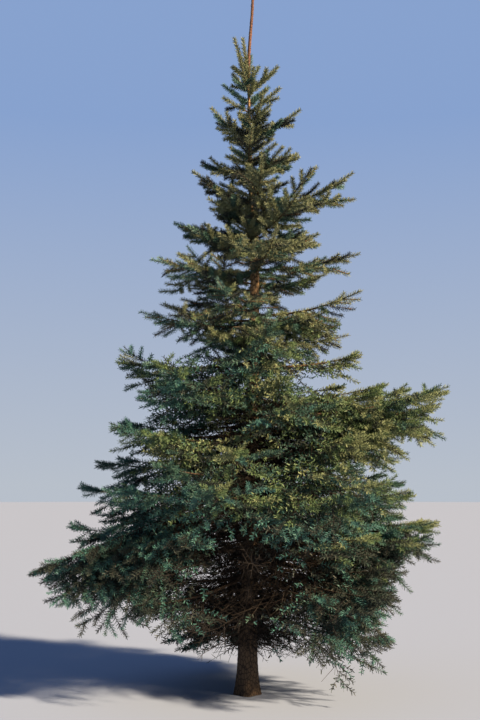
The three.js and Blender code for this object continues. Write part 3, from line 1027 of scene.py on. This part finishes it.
PAINTED_SHADE_LOW_SPRAYS, PAINTED_SHADE_LOW_SHARE = 1.15, 0.62  # painted shade: the share of the sprays below that height that get the dark old finish
PAINTED_LIGHT_FROM = 2.9  # height from which lighter copies of the finishes take over: young growth, lightened as painted light
PAINTED_LIGHT_SCATTER = 0.5
WARMTH_STEPS = (0.3, 0.5, 0.75)  # between four finishes, from blue to olive
PAINTED_LIGHT_FINISHES = (YOUNG_BLUE_PAINTED_LIGHT, YOUNG_OLIVE_PAINTED_LIGHT, YOUNG_OLIVE_PAINTED_LIGHT, YOUNG_OLIVE_PAINTED_LIGHT)
WARMTH = 0.47  # of a spray on the trunk's axis at the height MIDDLE
MIDDLE = 1.5
PAINTED_SUN_RIGHT = 0.24  # painted sunlight: more olive and lighter for each metre to the right
# painted sunlight: more olive and lighter for each metre up
PAINTED_SUN_UP = 0.07
PAINTED_SHADE_FROM, PAINTED_SHADE_RATE = 1.6, 0.6  # painted shade: bluer and darker for each metre below that height
PAINTED_LIGHT_BAND, PAINTED_LIGHT_WARMTH = (1.64, 1.98), 0.2  # painted sunlight: heights of the olive sprays over the dark hollow in front
PATCH_SIZE, PATCH_WARMTH = 0.33, 0.75  # of neighbouring sprays with like colours
WARMTH_SCATTER = 0.1


def needle_shape():
    """One needle as a flat blade: x across and y along, as corners and triangles."""
    bm = bmesh.new()
    bmesh.ops.create_grid(bm, x_segments=1, y_segments=1, size=1)
    for v in bm.verts:
        root, tip = NEEDLE_ENDS
        v.co = Vector((v.co.x * (root if v.co.y < 0 else tip), (v.co.y + 1) / 2, 0))
    bmesh.ops.triangulate(bm, faces=bm.faces)
    corners = np.array([v.co for v in bm.verts])
    faces = np.array([[v.index for v in f.verts] for f in bm.faces])
    bm.free()
    return corners, faces


def unit(vectors):
    return vectors / np.linalg.norm(vectors, axis=1)[:, None]


def outwards(points):
    """How far out some points are, for each metre of the crown's reach at their height."""
    heights, reaches = [w[0] for w in WHORLS[::-1]], [w[3] for w in WHORLS[::-1]]
    return np.hypot(points[:, 0], points[:, 1]) / np.interp(points[:, 2], heights, reaches)


def is_lit(points, spread):
    """Whether needles live at some points: low in the crown those near the trunk have died."""
    shade = np.interp(points[:, 2], SHADED_HEIGHTS, SHADED_SHARES)
    shade *= mix(1, SHADED_BEHIND, np.clip(points[:, 1] / FAR_SIDE, 0, 1))
    return (outwards(points) > shade * spread) & (points[:, 2] > ABOVE_GROUND)


def needle_mesh(name, stems, shades, materials, whorl, size=1.0, lean=NEEDLE_LEAN):
    """The needles of many stems in one mesh."""
    dice = np.random.default_rng(len(stems))
    lines = as_arrays(stems)
    branching = np.array([s["branches"] for s in stems])
    first = np.where(branching, NEEDLED_FROM, SHOOT_NEEDLED_FROM)
    fewer = 1
    if whorl > OPEN_WHORLS:
        fewer = np.interp(outwards(at(lines, 1)), INSIDE, (INSIDE_STEP, 1))
    step = fewer * np.where(branching, OLD_NEEDLE_STEP, 1)
    step = step * np.interp(whorl, NEEDLES_AT, NEEDLE_STEPS)
    half_width = size * NEEDLE_HALF_WIDTH * np.interp(whorl, NEEDLES_AT, NEEDLE_WIDTHS)
    half_width = np.broadcast_to(half_width * fewer**0.5, len(stems))
    counts = np.round(lines["length"] * (1 - first) / step).astype(int)
    which = np.repeat(np.arange(len(stems)), counts)
    number = np.arange(counts.sum()) - np.repeat(np.cumsum(counts) - counts, counts)
    share = (number + 0.5) / counts[which]
    turn = 2 * pi * dice.random(len(stems))
    spread = mix(*SHADED_SPREAD, dice.random(len(stems)))
    lit = is_lit(frames_along(lines, which, share)[0], spread[which])
    which, number, share = which[lit], number[lit], share[lit]
    centre, tangent, side, up = frames_along(lines, which, mix(first[which], 1, share))
    angle = (GOLDEN_ANGLE * number + turn[which])[:, None]
    radial = side * np.cos(angle) + up * np.sin(angle)
    leans = mix(*lean, share**3) + LEAN_SCATTER * dice.standard_normal(len(which))
    leans = np.radians(leans)[:, None]
    direction = tangent * np.cos(leans) + radial * np.sin(leans)
    direction = unit(direction + [0, 0, NEEDLE_RISE])
    across = unit(np.cross(direction, radial))
    roll_by = pi / 2 * (number % 2) + NEEDLE_ROLL * dice.standard_normal(len(which))
    roll_by = roll_by[:, None]
    across = across * np.cos(roll_by) + np.cross(across, direction) * np.sin(roll_by)
    length = size * np.interp(whorl, NEEDLES_AT, NEEDLE_LENGTHS) * NEEDLE_LENGTH
    length = length * (LEAST_LENGTH + LENGTH_SPREAD * dice.random(len(which)))
    length = length * (1 - TIP_SHORTENING * share**4)
    corners, faces = needle_shape()
    points = (
        centre[:, None]
        + corners[None, :, :1] * (half_width[which][:, None] * across)[:, None]
        + corners[None, :, 1:2] * (length[:, None] * direction)[:, None]
    )
    all_faces = (faces[None] + len(corners) * np.arange(len(which))[:, None, None]).reshape(-1, 3)
    colours = np.repeat(shades[which], len(faces))
    return joined(name, points.reshape(-1, 3), all_faces, materials, colours)


def shade_of(stem):
    """Which finish a spray's needles have: neighbours are alike, bluer and darker on the left and low
    down as painted shade, and more olive and lighter on the right and high up as painted sunlight.
    """
    seed = stem["seed"]
    if stem["branches"] or chance(seed, 3, 11) < OLD_BY_AGE * stem["age"]:
        # old stems inside the crown get the darkest finish, partly painted shade
        return OLD_AND_SHADED if chance(seed, 4, 11) < OLD_AND_SHADED_SHARE else BLUE_GREEN
    end = at(stem, 1)
    # painted shade: many low sprays get the dark old finish
    if end.z < PAINTED_SHADE_LOW_SPRAYS and chance(seed, 12, 11) < PAINTED_SHADE_LOW_SHARE:
        return OLD_AND_SHADED
    # painted sunlight: more olive and lighter to the right and higher up
    warmth = WARMTH + PAINTED_SUN_RIGHT * end.x + PAINTED_SUN_UP * (end.z - MIDDLE)
    # painted shade: bluer and darker low down
    warmth -= PAINTED_SHADE_RATE * max(0, PAINTED_SHADE_FROM - end.z)
    # painted sunlight on a band of sprays in front
    warmth += PAINTED_LIGHT_WARMTH * (PAINTED_LIGHT_BAND[0] < end.z < PAINTED_LIGHT_BAND[1] and end.y < 0)
    warmth += PATCH_WARMTH * noise.noise(end / PATCH_SIZE) + WARMTH_SCATTER * swing(seed, 5, 11)
    shade = sum(step < warmth for step in WARMTH_STEPS)
    # painted light: lighter copies of the finishes high in the crown
    if end.z > PAINTED_LIGHT_FROM + PAINTED_LIGHT_SCATTER * swing(seed, 9, 11):
        return PAINTED_LIGHT_FINISHES[shade]
    return shade


# Living needles: the wax on them is half matt, so they shine little and look dusty blue at a slant
needle_finishes = [plain(name, colour, roughness=0.62, sheen=0.1) for name, colour in SHADES]
for group, stems in stems_of.items():
    shades = np.array([shade_of(s) for s in stems])
    whorl = int(group.split("_")[1])
    lean = NEEDLE_LEAN if whorl > OPEN_WHORLS else OPEN_NEEDLE_LEAN
    needles = needle_mesh("needles_" + group, stems, shades, needle_finishes, whorl, lean=lean)
    if group.startswith("whorl"):
        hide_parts(*nodes_named(group.replace("whorl", "foliage") + "_"))


# The leader
# The top shoot of the year goes straight up, thick and pinkish brown, with short needles. Needled side
# shoots stand round its foot and round the last year's stem below it.
LEADER_SHOOTS = [
    # height on the stem, azimuth, length, lean from upright, how far it turns up, finish
    (4.98, 186, 0.352, 20, 0.35, YOUNG_OLIVE_PAINTED_LIGHT),
    (5.0, 215, 0.304, 11, 0.4, YOUNG_OLIVE_PAINTED_LIGHT),
    (5.03, 60, 0.15, 14, 0.1, YOUNG_BLUE_PAINTED_LIGHT),
    (4.91, 350, 0.17, 30, 0.2, OLIVE),
    (4.88, 358, 0.262, 57, 0.2, YOUNG_OLIVE_PAINTED_LIGHT),
    (4.77, 10, 0.21, 52, 0.2, YOUNG_BLUE_PAINTED_LIGHT),
    (4.96, 175, 0.166, 50, 0.2, YOUNG_OLIVE_PAINTED_LIGHT),
    (4.85, 196, 0.158, 56, 0.2, YOUNG_BLUE_PAINTED_LIGHT),
    (4.76, 182, 0.258, 56, 0.2, YOUNG_BLUE_PAINTED_LIGHT),
    (4.66, 330, 0.21, 60, 0.2, YOUNG_OLIVE_PAINTED_LIGHT),
    (5.02, 95, 0.2, 30, 0.2, YOUNG_BLUE_PAINTED_LIGHT),
    (4.93, 268, 0.13, 45, 0.2, YOUNG_OLIVE_PAINTED_LIGHT),
    (4.9, 110, 0.19, 50, 0.2, YOUNG_BLUE_PAINTED_LIGHT),
    (4.8, 290, 0.16, 55, 0.2, YOUNG_OLIVE_PAINTED_LIGHT),
    (4.74, 70, 0.2, 55, 0.2, YOUNG_BLUE_PAINTED_LIGHT),
]
LEADER_TOP = TREE_HEIGHT - 0.03  # the rest is left for the needles at its tip
LEADER_RADII = (0.0155, 0.0115)
LEADER_NEEDLE_SIZE = 0.68
LEADER_NEEDLE_WHORL = 6  # whose needles stand as far apart
LEADER_NEEDLE_LEAN = (48, 35)
LEADER_PARTS = 4
LEADER_SIDES, LEADER_RINGS = 16, 90
LEADER_SCALE = 0.012  # from peg to peg, drawn larger than life
LEADER_CUSHION = 0.003  # height of the pegs that its needles stand on
MOST_CUSHION = 0.2  # of its radius
LEADER_SUNK = 0.7
BUD_SHARE = 0.03
RING_ROOT_RADIUS, RING_TIP_RADIUS = 0.0045, 0.0025


def leader_point(angle, share):
    height = mix(TRUNK_TOP, LEADER_TOP, share)
    out = Vector((sin(angle), -cos(angle), 0))
    radius = mix(*LEADER_RADII, share) * min(1, (1 - share) / BUD_SHARE) ** 0.5
    skin = centre_at(height) + out * radius
    relief = min(LEADER_CUSHION, MOST_CUSHION * radius)
    return skin + out * relief * (flakes(skin, LEADER_SCALE) - LEADER_SUNK)


bm = bmesh.new()
roll(bm, LEADER_SIDES, LEADER_RINGS, leader_point)
close_ends(bm)
leader_bark = bark("pink_brown_shoot", "#875c49", "#5d4236", "#231612", LEADER_SCALE)
leader_stem = piece_of(bm, "leader_stem", leader_bark)

joints = [mix(TRUNK_TOP, LEADER_TOP, k / LEADER_PARTS) for k in range(LEADER_PARTS + 1)]
stem_parts = [
    through(*(centre_at(mix(a, b, k)) for k in (0, 0.5, 1)), branches=False)
    for a, b in zip(joints, joints[1:])
]
ring = []
for height, azimuth, length, lean, bend, _ in LEADER_SHOOTS:
    out = Vector((cos(radians(azimuth)), sin(radians(azimuth)), 0))
    direction = Z * cos(radians(lean)) + out * sin(radians(lean))
    ring.append(bent(centre_at(height), direction, length, bend) | {"branches": False})
ring_radii = np.full(len(ring), RING_ROOT_RADIUS)
ring_stems = twig_mesh("twigs_ring", ring, ring_radii, RING_TIP_RADIUS, twig_barks[2:])
leader_shades = np.array([RUSTY, OLIVE, OLIVE, RUSTY])
leader_needles = needle_mesh(
    "needles_leader",
    stem_parts,
    leader_shades,
    needle_finishes,
    LEADER_NEEDLE_WHORL,
    LEADER_NEEDLE_SIZE,
    LEADER_NEEDLE_LEAN,
)
ring_shades = np.array([row[-1] for row in LEADER_SHOOTS])
ring_needles = needle_mesh("needles_ring", ring, ring_shades, needle_finishes, 1, lean=OPEN_NEEDLE_LEAN)
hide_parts("leader")


# The dead twigs
# Low inside the crown, where no light comes, the old twigs have lost their needles and stay on as dry
# bare sticks. Their near-black brown is partly painted shade. One bough of the lowest whorl and some
# thin limbs are dead.
DEAD_FROM, DEAD_TO = 0.36, 2.3  # heights
DEAD_COUNT = 950
DEAD_TURN = 2.4  # radians from one to the next
DEAD_SLOPE = (-0.35, 0.1)
DEAD_BEND = 0.1
DEAD_LENGTH = (0.25, 0.85)
DEAD_SIDE_TWIGS = 7
DEAD_SIDE_FROM, DEAD_SIDE_TO = 0.15, 0.97  # shares of a stick
DEAD_SIDE_FORWARD = 0.8  # how far they point along the stick
DEAD_SIDE_LENGTH = 0.4  # for each metre of the stick
DEAD_LIMB_SIDE_LENGTH = 0.5
DEAD_LAST_TWIGS, DEAD_LAST_LENGTH = 6, 0.12  # on each twig of a dead limb
DEAD_RADIUS = (0.0026, 0.006)
DEAD_RADIUS_GAIN = 0.008  # for each metre of its length
DEAD_TIP_RADIUS = 0.001


def dead_side_twigs(stem, count, length):
    """Bare twigs all round a dead stick, shorter towards its tip and bent down."""
    for k in range(count):
        s = mix(DEAD_SIDE_FROM, DEAD_SIDE_TO, (k + 0.5) / count)
        seed = stem["seed"]
        turned = Matrix.Rotation(DEAD_TURN * k + seed, 3, stem["along"].normalized())
        tangent, side, _ = frame_of(lambda t: at(stem, t), s)
        direction = (tangent * DEAD_SIDE_FORWARD + turned @ side).normalized()
        long = length * (1.1 - s) * mix(0.5, 1, chance(seed, k, 12))
        yield bent(at(stem, s), direction, long, -DEAD_BEND) | {"seed": 31 * seed + k}


dead = []
for k in range(DEAD_COUNT):
    height = mix(DEAD_FROM, DEAD_TO, chance(k, 1, 20))
    azimuth = DEAD_TURN * k
    slope = mix(*DEAD_SLOPE, chance(k, 2, 20))
    direction = Vector((cos(azimuth), sin(azimuth), slope)).normalized()
    length = mix(*DEAD_LENGTH, chance(k, 3, 20)) * min(1, 0.3 + height)
    bend = DEAD_BEND * swing(k, 4, 20)
    stick = bent(centre_at(height), direction, length, bend) | {"seed": 7000 + k}
    dead += [stick, *dead_side_twigs(stick, DEAD_SIDE_TWIGS, DEAD_SIDE_LENGTH * length)]
for bough in boughs:
    if bough["dead"]:
        path = bough_path(bough)
        limb = through(path(0), path(0.5), path(1), seed=bough["seed"])
        side_length = DEAD_LIMB_SIDE_LENGTH * limb["length"]
        twigs = list(dead_side_twigs(limb, 2 * DEAD_SIDE_TWIGS, side_length))
        dead += [limb, *twigs]
        for twig in twigs:
            dead += dead_side_twigs(twig, DEAD_LAST_TWIGS, DEAD_LAST_LENGTH)
lengths = np.array([s["length"] for s in dead])
radii = np.clip(DEAD_RADIUS_GAIN * lengths, *DEAD_RADIUS)
# Dry dead wood: it has no gloss at all, and its dark brown is deepened to near black as painted shade,
# so that the hollow stays deep
dead_bark_painted_shade = plain("dry_dead_twig_painted_shade", "#1a1513", 0.9)
dead_twigs = twig_mesh("dead_twigs", dead, radii, DEAD_TIP_RADIUS, [dead_bark_painted_shade], cuts=0)
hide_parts(*nodes_named("dead_"))
